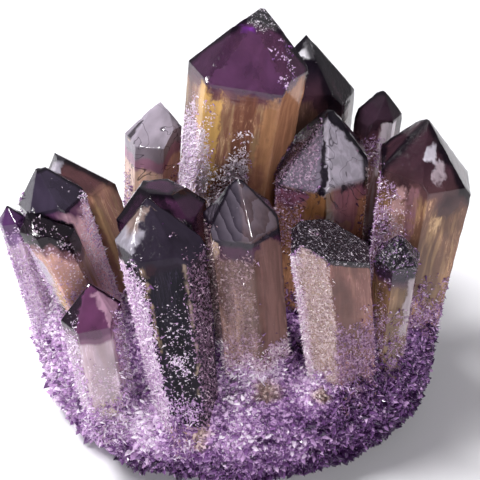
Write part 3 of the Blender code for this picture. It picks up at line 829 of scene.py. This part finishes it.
def growth_group():
    """Crystal colour from the tip down, with veils and threads along the axis and dark rims of painted shade.
    """
    inputs = [("Grown", VECTOR), *((label, COLOUR) for label in ("Band", "Tip", "Glow", "Body", "Streak")),
              *((label, NUMBER) for label in ("Zone", "Depth", "Rim", "Band Share", *GROWTH_FACTS))]
    group, given, results = new_group("Crystal growth", inputs, [("Color", COLOUR), ("Height", NUMBER)])
    grown = given["Grown"]
    cloud = grain_of(group, grown, (1, 1, 0.5), 0.13, 4, 0.4)
    veils = grain_of(group, grown, (1, 1, 0.13), 0.66, 5, 0.6)
    threads = grain_of(group, grown, (1, 1, 0.08), 1.1, 3, 1.4)
    torn = grain_of(group, grown, (1, 1, 0.6), 1.0, 4, 0.8)

    # The body, with veils and bright threads along the axis.
    body = blend(group, between(group, veils, 0.44, 0.72), given["Body"], given["Streak"])
    thread_share = times(group, hairlines(group, threads, 0.03), between(group, cloud, 0.44, 0.58, 0.0, 0.65))
    body = blend(group, thread_share, body, tinted(group, given["Streak"], BRIGHT_THREAD))
    body = tinted(group, body, between(group, cloud, 0.32, 0.68, 0.55, 1.15))

    # The tip's colour, the glow below it and then the body.
    drift = times(group, centred(group, cloud), given["Fade"])
    drift = times(group, drift, between(group, given["Depth"], 0.0, 1.5))
    deep = calculate(group, "MULTIPLY_ADD", drift, 5.0, given["Zone"])
    top_end = calculate(group, "ADD", given["Tip Depth"], given["Fade"])
    glow_end = calculate(group, "ADD", given["Glow Depth"], given["Fade"])
    zoned = blend(group, between(group, deep, given["Tip Depth"], top_end), given["Tip"], given["Glow"])
    zoned = tinted(group, zoned, between(group, cloud, 0.32, 0.68, 0.65, 1.25))
    zoned = blend(group, between(group, deep, given["Glow Depth"], glow_end), zoned, body)

    # The stretches of other colours, with ragged borders, some of them painted reflections, light and shade.
    ragged = calculate(group, "MULTIPLY_ADD", centred(group, torn), 0.9, given["Band Share"])
    banded = tinted(group, given["Band"], between(group, veils, 0.35, 0.65, 0.80, 1.14))
    zoned = blend(group, times(group, between(group, ragged, 0.28, 0.72), 0.92), zoned, banded)

    # Growth steps across the end faces.
    climb = place_node(group, "ShaderNodeVectorMath", {0: grown, 1: STEP_SLOPE}, operation="DOT_PRODUCT")
    saw = calculate(group, "FRACT", calculate(group, "MULTIPLY_ADD", cloud, 3.0, climb.outputs["Value"]))
    on_end = between(group, given["Depth"], 0.05, 0.4, 1.0, 0.0)
    step_share = times(group, times(group, given["Steps"], on_end), saw)
    zoned = blend(group, times(group, step_share, 0.36), zoned, STEP_GREY)

    # Painted shade: dark rims along the outline near the top.
    width = calculate(group, "MAXIMUM", given["Rim Shade Width"], 0.01)
    near_edge = calculate(group, "DIVIDE", given["Rim"], width)
    near_top = between(group, given["Depth"], 0.6, 2.6, 1.0, 0.0)
    wavy = calculate(group, "MULTIPLY_ADD", centred(group, cloud), 2.0, near_edge)
    rim_shade_share = times(group, between(group, wavy, 0.3, 1.0, 0.92, 0.0), near_top)
    zoned = blend(group, rim_shade_share, zoned, RIM_SHADE)

    # Cracks inside, and white specks that are partly inclusions and partly painted glints.
    cracked = hairlines(group, grain_of(group, grown, (1, 1, 1), 0.11, 2, 1.2), 0.009)
    cracked = times(group, cracked, given["Cracks"])
    zoned = blend(group, times(group, cracked, 0.8), zoned, CRACK_GREY)
    away, luck = cells_of(group, grown, 0.95)
    reach = between(group, luck, 0.75, 1.0, 0.0, 0.12)
    spot = between(group, calculate(group, "SUBTRACT", away, reach), -0.03, 0.03, 1.0, 0.0)
    specks_and_glints = times(group, spot, between(group, veils, 0.42, 0.55))
    zoned = blend(group, times(group, specks_and_glints, given["Specks"]), zoned, SPECK_AND_GLINT_WHITE)
    group.links.new(zoned, results["Color"])

    # The fine relief.
    ribs = grain_of(group, grown, (0.05, 0.05, 1), 1.5, 3)
    on_side = between(group, given["Depth"], 0.3, 1.5)
    pits = grain_of(group, grown, (1, 1, 1), 0.9, 4)
    height = calculate(group, "MULTIPLY_ADD", ribs, on_side, pits)
    height = calculate(group, "MULTIPLY_ADD", step_share, 1.2, height)
    height = calculate(group, "MULTIPLY_ADD", cracked, -1.5, height)
    group.links.new(height, results["Height"])
    return group


def coating_group():
    """Fine frost and etched tips laid over a crystal's colour, roughness and relief."""
    inputs = [("Color", COLOUR), ("Grown", VECTOR),
              *((label, NUMBER) for label in ("Frost", "Warm", "Pale", "Etched", "Height"))]
    outputs = [("Color", COLOUR), ("Roughness", NUMBER), ("Height", NUMBER)]
    group, given, results = new_group("Frost and etching", inputs, outputs)
    dust = grain_of(group, given["Grown"], (1, 1, 1), 1.3, 4)
    away, luck = cells_of(group, given["Grown"], 2.6)

    bitten = grain_of(group, given["Grown"], (1, 1, 1), 1.9, 4, 1.2)
    etched_colour = ramp_of(group, between(group, bitten, 0.44, 0.70), ETCHED_TONES)
    colour = blend(group, given["Etched"], given["Color"], etched_colour)

    patchy = calculate(group, "MULTIPLY_ADD", centred(group, dust), 0.8, given["Frost"])
    grainy = between(group, calculate(group, "SUBTRACT", patchy, luck), -0.04, 0.08)
    share = times(group, grainy, between(group, given["Frost"], 0.02, 0.12))
    tone = calculate(group, "MULTIPLY_ADD", centred(group, dust), 1.6, given["Pale"])
    frosted = grain_colour(group, times(group, tone, 0.8), given["Warm"])
    colour = blend(group, times(group, share, 0.7), colour, frosted)
    group.links.new(colour, results["Color"])

    smears = between(group, dust, 0.5, 0.75, 0.08, 0.20)
    rough = calculate(group, "MULTIPLY_ADD", share, 0.28, smears)
    rough = calculate(group, "MULTIPLY_ADD", given["Etched"], 0.12, rough)
    group.links.new(rough, results["Roughness"])
    height = calculate(group, "MULTIPLY_ADD", times(group, share, away), -2.4, given["Height"])
    height = calculate(group, "MULTIPLY_ADD", times(group, given["Etched"], bitten), 5.0, height)
    group.links.new(height, results["Height"])
    return group


def attribute(tree, name, output="Fac"):
    """A value stored on the mesh."""
    return place_node(tree, "ShaderNodeAttribute", attribute_name=name).outputs[output]


def placed_group(tree, group, inputs):
    """A shader group placed in a material, by its sockets' names."""
    return place_node(tree, "ShaderNodeGroup", inputs, node_tree=group).outputs


def relief(tree, height, strength, reach):
    """The normal of fine relief, reach being its depth in metres."""
    return output_of(tree, "ShaderNodeBump", {"Height": height, "Strength": strength, "Distance": reach})


def new_material(name):
    """A material, its tree and its Principled shader."""
    material = bpy.data.materials.new(name)
    material.use_nodes = True
    tree = material.node_tree
    return material, tree, tree.nodes["Principled BSDF"]


QUARTZ_IOR = 1.54
# How strongly a large point absorbs light, and its fine relief in metres.
HAZE_DENSITY = 60.0
QUARTZ_RELIEF = 0.00014
# How smooth and how see-through the small crystals are.
GRAIN_ROUGHNESS = 0.14
GRAIN_PASSES = 0.2
# The bed's roughness, its relief in metres, and how many grit cells it has to a metre.
BED_ROUGHNESS = 0.45
BED_RELIEF = 0.0004
BED_CELLS = 1500.0


def crystal_material(point):
    """A large point's zoned quartz."""
    facts = point.facts
    material, tree, shader = new_material(point.name + "_quartz")
    grown = attribute(tree, "grown", "Vector")
    read = {label: attribute(tree, label.lower()) for label in
            ("Zone", "Depth", "Rim", "Frost", "Warm", "Pale", "Etched")}
    growth = placed_group(tree, GROWTH, {
        "Grown": grown, "Zone": read["Zone"], "Depth": read["Depth"], "Rim": read["Rim"],
        "Band": attribute(tree, "band", "Color"), "Band Share": attribute(tree, "band", "Alpha"),
        "Tip": facts["tip_colour"], "Glow": facts["glow"], "Body": facts["body"], "Streak": facts["streak"],
        **{label: facts[key] for label, key in GROWTH_FACTS.items()}})
    coating = placed_group(tree, COATING, {
        "Color": growth["Color"], "Grown": grown, "Frost": read["Frost"], "Warm": read["Warm"],
        "Pale": read["Pale"], "Etched": read["Etched"], "Height": growth["Height"]})
    give(tree, shader, {
        "Base Color": coating["Color"], "Roughness": coating["Roughness"],
        "Normal": relief(tree, coating["Height"], 0.4, QUARTZ_RELIEF), "IOR": QUARTZ_IOR,
        "Specular IOR Level": facts["shine"], "Transmission Weight": facts["passes"]})
    absorbing = output_of(tree, "ShaderNodeVolumeAbsorption", {"Color": HAZE, "Density": HAZE_DENSITY})
    tree.links.new(absorbing, tree.nodes["Material Output"].inputs["Volume"])
    return material


def grain_material(name, paler):
    """The small crystals and grains: each its own shade, with paler added to all of them."""
    material, tree, shader = new_material(name)
    rare = calculate(tree, "POWER", attribute(tree, "tint"), 2.0)
    spread = times(tree, calculate(tree, "SUBTRACT", rare, 0.3), 0.9)
    tone = calculate(tree, "ADD", attribute(tree, "pale"), spread)
    tone = calculate(tree, "MULTIPLY_ADD", tone, 0.85, paler)
    give(tree, shader, {
        "Base Color": grain_colour(tree, tone, attribute(tree, "warm")), "Roughness": GRAIN_ROUGHNESS,
        "IOR": QUARTZ_IOR, "Transmission Weight": GRAIN_PASSES})
    return material


def bed_material():
    """What shows between the small crystals: a dark purple ground with paler grit."""
    material, tree, shader = new_material("druse_bed")
    place = place_node(tree, "ShaderNodeTexCoord").outputs["Object"]
    away, luck = cells_of(tree, place, BED_CELLS)
    tone = calculate(tree, "MULTIPLY_ADD", luck, 0.7, times(tree, attribute(tree, "pale"), 0.5))
    tone = calculate(tree, "SUBTRACT", tone, 0.25)
    give(tree, shader, {
        "Base Color": grain_colour(tree, tone, attribute(tree, "warm")), "Roughness": BED_ROUGHNESS,
        "Normal": relief(tree, away, 0.8, BED_RELIEF)})
    return material


# The seeds of the small crystals' turns, sizes and tints.
TURN_SEED = 5
SIZE_SEED = 3
TINT_SEED = 8


def stored(tree, name):
    """A number stored on the host's surface."""
    return output_of(tree, "GeometryNodeInputNamedAttribute", {"Name": name}, data_type="FLOAT")


def combined(tree, x, y, z):
    """A vector from three numbers."""
    return output_of(tree, "ShaderNodeCombineXYZ", {0: x, 1: y, 2: z})


def small_crystal(tree, given):
    """A small crystal, one unit high: a cone on a shaft, or a cone alone where the shaft is 0."""
    shaft = output_of(tree, "GeometryNodeMeshCone", {
        "Vertices": given["Sides"], "Radius Top": 0.46, "Radius Bottom": 0.5,
        "Depth": given["Shaft"]}, fill_type="NONE")
    cap = output_of(tree, "GeometryNodeMeshCone", {
        "Vertices": given["Sides"], "Radius Top": 0.0, "Radius Bottom": 0.46,
        "Depth": calculate(tree, "SUBTRACT", 1.0, given["Shaft"])}, fill_type="NONE")
    raised = combined(tree, 0.0, 0.0, given["Shaft"])
    lifted = output_of(tree, "GeometryNodeTransform", {"Geometry": cap, "Translation": raised})
    joined = tree.nodes.new("GeometryNodeJoinGeometry")
    for part in (shaft, lifted):
        tree.links.new(part, joined.inputs[0])
    has_shaft = output_of(tree, "FunctionNodeCompare", {0: given["Shaft"], 1: 0.01},
                          operation="GREATER_THAN")
    return output_of(tree, "GeometryNodeSwitch", {0: has_shaft, 1: cap, 2: joined.outputs[0]},
                     input_type="GEOMETRY")


def random_tilt(tree, lean, upright):
    """An upright rotation, leaned and turned by chance."""
    least = times(tree, lean, -1.0)
    limits = {0: combined(tree, least, least, 0.0), 1: combined(tree, lean, lean, math.tau)}
    turned = output_of(tree, "FunctionNodeRandomValue", {**limits, "Seed": TURN_SEED},
                       data_type="FLOAT_VECTOR")
    tilt = output_of(tree, "FunctionNodeEulerToRotation", {0: turned})
    return output_of(tree, "FunctionNodeRotateRotation", {0: upright, 1: tilt}, rotation_space="LOCAL")


def random_number(tree, seed):
    """A number from 0 to 1 for each small crystal."""
    return place_node(tree, "FunctionNodeRandomValue", {"Seed": seed}, data_type="FLOAT").outputs[1]


def random_size(tree, given):
    """The size of each small crystal: many small ones and a few large ones."""
    few_large = calculate(tree, "POWER", random_number(tree, SIZE_SEED), 2.5)
    scale = calculate(tree, "MULTIPLY_ADD", few_large, given["Unevenness"], 0.7)
    scale = times(tree, scale, stored(tree, "grit"))
    width = times(tree, scale, given["Width"])
    return combined(tree, width, width, times(tree, scale, given["Height"]))


SCATTER_INPUTS = {"Geometry": ("Geometry",), "Int": ("Sides", "Seed"), "Material": ("Material",),
                  "Float": ("Density", "Width", "Height", "Unevenness", "Lean", "Sink", "Shaft")}


def scatter_tree():
    """A Geometry Nodes tree that scatters small points over a surface.

    The surface's frost attribute scales their density, and its grit attribute their size. What
    would reach below the floor is pressed up to just above it.
    """
    tree = bpy.data.node_groups.new("Scatter small crystals", "GeometryNodeTree")
    for kind, labels in SCATTER_INPUTS.items():
        for label in labels:
            tree.interface.new_socket(label, in_out="INPUT", socket_type="NodeSocket" + kind)
    tree.interface.new_socket("Geometry", in_out="OUTPUT", socket_type="NodeSocketGeometry")
    given = tree.nodes.new("NodeGroupInput").outputs
    result = tree.nodes.new("NodeGroupOutput").inputs

    spots = place_node(tree, "GeometryNodeDistributePointsOnFaces", {
        "Mesh": given["Geometry"], "Density": times(tree, stored(tree, "frost"), given["Density"]),
        "Seed": given["Seed"]}, distribute_method="RANDOM").outputs
    planted = output_of(tree, "GeometryNodeInstanceOnPoints", {
        "Points": spots[0], "Instance": small_crystal(tree, given),
        "Rotation": random_tilt(tree, given["Lean"], spots["Rotation"]),
        "Scale": random_size(tree, given)})
    sunk = combined(tree, 0.0, 0.0, times(tree, given["Sink"], -1.0))
    lowered = output_of(tree, "GeometryNodeTranslateInstances", {0: planted, 2: sunk, 3: True})
    marked = output_of(tree, "GeometryNodeStoreNamedAttribute", {
        "Geometry": lowered, "Name": "tint", "Value": random_number(tree, TINT_SEED)},
        data_type="FLOAT", domain="INSTANCE")
    real = output_of(tree, "GeometryNodeRealizeInstances", {0: marked})
    place = output_of(tree, "GeometryNodeInputPosition")
    x, y, z = place_node(tree, "ShaderNodeSeparateXYZ", {0: place}).outputs
    above = calculate(tree, "MAXIMUM", z, FLOOR_CLEARANCE * MM)
    standing = output_of(tree, "GeometryNodeSetPosition", {
        "Geometry": real, "Position": combined(tree, x, y, above)})
    flat = output_of(tree, "GeometryNodeSetShadeSmooth", {"Geometry": standing, "Shade Smooth": False})
    painted = output_of(tree, "GeometryNodeSetMaterial", {"Geometry": flat, "Material": given["Material"]})
    tree.links.new(painted, result[0])
    return tree


def scatter(name, host, values):
    """Small crystals scattered over a host, as a plain mesh of their own."""
    modifier = host.modifiers.new("Scatter", "NODES")
    modifier.node_group = SCATTER
    for socket in SCATTER.interface.items_tree:
        if socket.in_out == "INPUT" and socket.name in values:
            modifier[socket.identifier] = values[socket.name]
    bpy.context.view_layer.update()
    finished = host.evaluated_get(bpy.context.evaluated_depsgraph_get())
    mesh = bpy.data.meshes.new_from_object(finished)
    host.modifiers.remove(modifier)
    mesh.name = name
    return add_piece(name, mesh)


def druse_place(way):
    """The place on the lump's skin in one direction from its middle, in millimetres."""
    level = math.hypot(way.x, way.y)
    spread = max(level, 0.05) ** -0.35
    x = DRUSE_CENTRE[0] + DRUSE_HALF_WIDTH * way.x * spread
    y = DRUSE_CENTRE[1] + DRUSE_HALF_DEPTH * way.y * spread
    reach = DRUSE_CROWN if way.z > 0 else DRUSE_KEEL
    z = DRUSE_WIDEST_LEVEL + math.copysign(reach * abs(way.z) ** 0.8, way.z)
    flank = max(0.0, abs(way.x) - 0.55) / 0.45
    rise = LEFT_FLANK_RISE if way.x < 0 else RIGHT_FLANK_RISE
    z += rise * flank * math.sqrt(max(way.z, 0.0))
    x += math.copysign(FLANK_FLARE * max(z - DRUSE_WIDEST_LEVEL, 0.0) * flank, way.x)
    return Vector((x, y, z))


# Pale fluffy mounds on the druse: middle and reach in millimetres, and how far each one rises.
MOUNDS = (((6, -32, 27), 6.5, 2.2), ((17.5, -33, 25), 5.5, 2.0), ((-22, -38, 17), 5, 1.2),
          ((-1, -40, 17), 4, 0.8), ((-44, -10, 34), 10, 1.0))


def nearness(places, middle, reach):
    """1 at a middle, falling off softly around it."""
    return np.exp(-np.sum((places - np.array(middle)) ** 2, 1) / reach ** 2)


def mound_rise(places):
    """How much of a mound is at each place, and how far it lifts the bed there."""
    share = np.zeros(len(places))
    rise = np.zeros(len(places))
    for middle, reach, height in MOUNDS:
        near = nearness(places, middle, reach)
        share = np.maximum(share, near)
        rise = np.maximum(rise, near * height)
    return share, rise


# Bare grey and tan places among the small crystals: middle and reach in millimetres.
BARE_PLACES = (((5.5, -34.5, 25), 3.8), ((18.5, -35.5, 24), 2.6), ((-10.5, -40.5, 17), 4.2))


def bareness(places):
    """How far each place is grey or tan instead of lilac."""
    share = np.zeros(len(places))
    for middle, reach in BARE_PLACES:
        share = np.maximum(share, nearness(places, middle, reach))
    return smooth(0.3, 0.6, share + 0.3 * wander(places, 0.5))


def druse_paleness_and_shade(places):
    """How pale the small crystals are: palest on the mounds; paler on the left flank and darker low down and
    on the right, partly as their own tone and partly as painted light and shade.
    """
    x, y, z = places.T
    # Partly painted shade and light: darker towards the low right front, paler on the left flank, darker low
    # down.
    pale = 0.55 - 0.38 * smooth(-15, 26, x) * smooth(-60, -10, -np.abs(y) + x)
    pale += 0.22 * smooth(-20, -45, x)
    pale -= 0.42 * smooth(13, 3, z) * smooth(-45, -20, x)
    pale += 0.8 * mound_rise(places)[0]
    return pale + 0.28 * wander(places, 0.14) + 0.26 * wander(places, 0.4)


def under_points(places):
    """1 where a large point stands on the bed, 0 elsewhere."""
    covered = np.zeros(len(places))
    for name, facts in POINTS.items():
        point = Point(name, facts)
        inside = (point.closeness(places) < ROOT_WIDTH) & (point.local(places)[:, 2] > -ROOT_REACH)
        covered = np.maximum(covered, inside)
    return covered


def cut_flat(bm):
    """Cut a closed mesh off at the floor and close it there."""
    everything = bm.verts[:] + bm.edges[:] + bm.faces[:]
    cut = bmesh.ops.bisect_plane(bm, geom=everything, plane_co=(0, 0, 0), plane_no=(0, 0, -1),
                                 clear_outer=True)
    rim = [part for part in cut["geom_cut"] if isinstance(part, bmesh.types.BMEdge)]
    bmesh.ops.edgeloop_fill(bm, edges=rim)


def druse_bed():
    """The lump that the small crystals grow on, with knobs and hollows, cut off flat below."""
    bm = bmesh.new()
    bmesh.ops.create_icosphere(bm, subdivisions=6, radius=1)
    skin = np.array([druse_place(vert.co.normalized()) for vert in bm.verts])
    inward = -(skin - np.array((*DRUSE_CENTRE, DRUSE_WIDEST_LEVEL)))
    inward /= np.linalg.norm(inward, axis=1)[:, None]
    fall = BED_INSET + 1.5 * wander(skin, 0.12) + 0.8 * wander(skin, 0.3) - mound_rise(skin)[1]
    for vert, place in zip(bm.verts, skin + inward * fall[:, None]):
        vert.co = place
    cut_flat(bm)
    bm.normal_update()
    places = np.array([vert.co for vert in bm.verts])
    bm.transform(Matrix.Scale(MM, 4))
    mesh = bpy.data.meshes.new("druse_bed")
    bm.to_mesh(mesh)
    bm.free()
    bare = bareness(places)
    store(mesh, "frost", (1 - under_points(places)) * smooth(0.2, 0.8, places[:, 2]) * (1 - 0.45 * bare))
    store(mesh, "grit", 0.95 + 0.35 * wander(places, 0.16) - 0.3 * smooth(12, 30, places[:, 2]))
    store(mesh, "warm", bare)
    store(mesh, "pale", druse_paleness_and_shade(places) * (1 - bare) + 0.42 * bare)
    mesh.materials.append(bed_material())
    mesh.shade_smooth()
    return add_piece("druse_bed", mesh)


def finish_piece(piece, slot, *nodes):
    """Put a piece on the frame."""
    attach(piece, "root")
    if nodes:
        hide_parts(*nodes)


SLOTS = {"dark_twin_crystal": "dark_quartz", "back_left_crystal": "clear_quartz"}

# Grains on the large faces and small crystals on the druse: how many to a square metre, their
# width and height in metres at grit 1, and how uneven, leaning and sunk they are.
FACE_GRAINS = dict(Density=6.5e6, Width=0.0006, Height=0.0012, Unevenness=1.2, Lean=1.1,
                   Sink=0.0001, Sides=4, Shaft=0.0)
DRUSE_LAYERS = {
    "druse_points": dict(Density=1.0e6, Width=0.00075, Height=0.0012, Unevenness=1.1, Lean=1.0, Sink=0.0003,
                         Sides=5, Shaft=0.5, Seed=1),
    "druse_stubs": dict(Density=3.2e6, Width=0.0005, Height=0.0008, Unevenness=0.8, Lean=1.1, Sink=0.0,
                        Sides=4, Shaft=0.0, Seed=2),
    "druse_needles": dict(Density=4.4e6, Width=0.00020, Height=0.0012, Unevenness=0.8, Lean=1.2, Sink=0.0,
                          Sides=3, Shaft=0.0, Seed=3),
    "druse_spikes": dict(Density=5.5e4, Width=0.0013, Height=0.0022, Unevenness=0.7, Lean=0.7, Sink=0.0004,
                         Sides=6, Shaft=0.55, Seed=4),
}


# How much darker the largest small crystals are, as tone.
DARK_POINTS = -0.28

# The floor's size in metres, its colour and roughness, and the colour of the sky's light.
FLOOR_SIZE = 3.0
FLOOR_COLOUR = (0.84, 0.83, 0.86, 1)
FLOOR_ROUGHNESS = 0.8
SKY_COLOUR = (0.96, 0.95, 1.0, 1)


def build_crystals():
    """All the large points with their frost."""
    grains = grain_material("druse_crystals", 0.0)
    for seed, node in enumerate(sorted({facts["node"] for facts in POINTS.values()})):
        piece = crystal_piece(node.replace("_crystal", "_quartz"), node)
        values = dict(FACE_GRAINS, Seed=seed, Material=grains)
        frosting = scatter(node.replace("_crystal", "_frost"), piece, values)
        finish_piece(piece, SLOTS.get(node, "smoky_quartz"), node)
        finish_piece(frosting, "druse")
    return grains


def build_druse(grains):
    """The druse's bed with its small crystals in four sizes, the largest of them darker."""
    bed = druse_bed()
    materials = {"druse_spikes": grain_material("druse_dark_points", DARK_POINTS)}
    for name, values in DRUSE_LAYERS.items():
        finish_piece(scatter(name, bed, dict(values, Material=materials.get(name, grains))), "druse")
    finish_piece(bed, "druse", "druse_base")


def build_stage():
    """A plain pale floor."""
    bpy.ops.mesh.primitive_plane_add(size=FLOOR_SIZE)
    floor = bpy.context.object
    floor.name = "floor"
    material, tree, shader = new_material("floor_paper")
    give(tree, shader, {"Base Color": FLOOR_COLOUR, "Roughness": FLOOR_ROUGHNESS})
    floor.data.materials.append(material)


def area_light(name, place, size, power, glossy=True):
    """A soft round light that faces the cluster: place and size in millimetres, power in watts."""
    data = bpy.data.lights.new(name, "AREA")
    data.shape = "DISK"
    data.size = size * MM
    data.energy = power
    lamp = bpy.data.objects.new(name, data)
    bpy.context.scene.collection.objects.link(lamp)
    lamp.location = Vector(place) * MM
    lamp.rotation_euler = (Vector(CAMERA_TARGET) * MM - lamp.location).to_track_quat("-Z", "Y").to_euler()
    lamp.visible_glossy = glossy
    lamp.visible_camera = False
    return lamp


def build_lights():
    """Soft light from high on the left and behind, low light from the front, and one for glints."""
    area_light("key", (-370, 30, 760), 400, 11.0, glossy=False)
    area_light("low_front", (60, -800, 170), 500, 6.0, glossy=False)
    area_light("low_right", (720, -60, 100), 400, 2.0, glossy=False)
    glints = area_light("glints", (-150, -380, 560), 70, 1.6)
    glints.visible_diffuse = False
    world = bpy.data.worlds.new("studio")
    bpy.context.scene.world = world
    world.use_nodes = True
    tree = world.node_tree
    way = place_node(tree, "ShaderNodeTexCoord").outputs["Generated"]
    parts = place_node(tree, "ShaderNodeSeparateXYZ", {0: way})
    brightness = between(tree, parts.outputs[1], -0.45, 0.25, 0.05, 0.24)
    sky = tree.nodes["Background"]
    give(tree, sky, {"Color": SKY_COLOUR, "Strength": brightness})


def build_camera():
    """The camera at the photograph's angle."""
    data = bpy.data.cameras.new("camera")
    data.lens = CAMERA_LENS
    data.sensor_width = SENSOR_WIDTH
    camera = bpy.data.objects.new("camera", data)
    bpy.context.scene.collection.objects.link(camera)
    rise = math.radians(CAMERA_ELEVATION)
    back = Vector((0, -math.cos(rise), math.sin(rise)))
    camera.location = (Vector(CAMERA_TARGET) + back * CAMERA_DISTANCE) * MM
    camera.rotation_euler = back.to_track_quat("Z", "Y").to_euler()
    bpy.context.scene.camera = camera


GROWTH = growth_group()
COATING = coating_group()
SCATTER = scatter_tree()
build_druse(build_crystals())
build_stage()
build_lights()
build_camera()
bpy.context.scene.view_settings.view_transform = "Standard"
